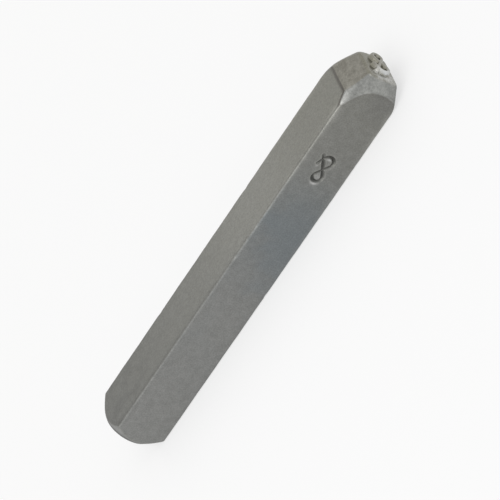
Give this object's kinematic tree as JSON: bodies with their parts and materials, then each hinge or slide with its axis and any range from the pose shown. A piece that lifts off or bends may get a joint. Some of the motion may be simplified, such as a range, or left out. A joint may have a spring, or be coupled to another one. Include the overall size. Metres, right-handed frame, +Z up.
{
  "type": "steel letter punch",
  "caption": "Square steel hand punch with a raised mirrored ampersand on its ground-down end, the same character stamped in one side, and a chamfered striking head.",
  "frame": {"origin": "middle of the flat side that the punch lies on, halfway along it", "axes": "+X along the bar towards the letter end, -Y out of the side with the stamped mark, +Z up"},
  "size_m": [0.0586, 0.007, 0.007],
  "materials": {
    "tool_steel": "satin"
  },
  "bodies": {
    "root": {"letter_punch": "tool_steel"}
  },
  "joints": []
}
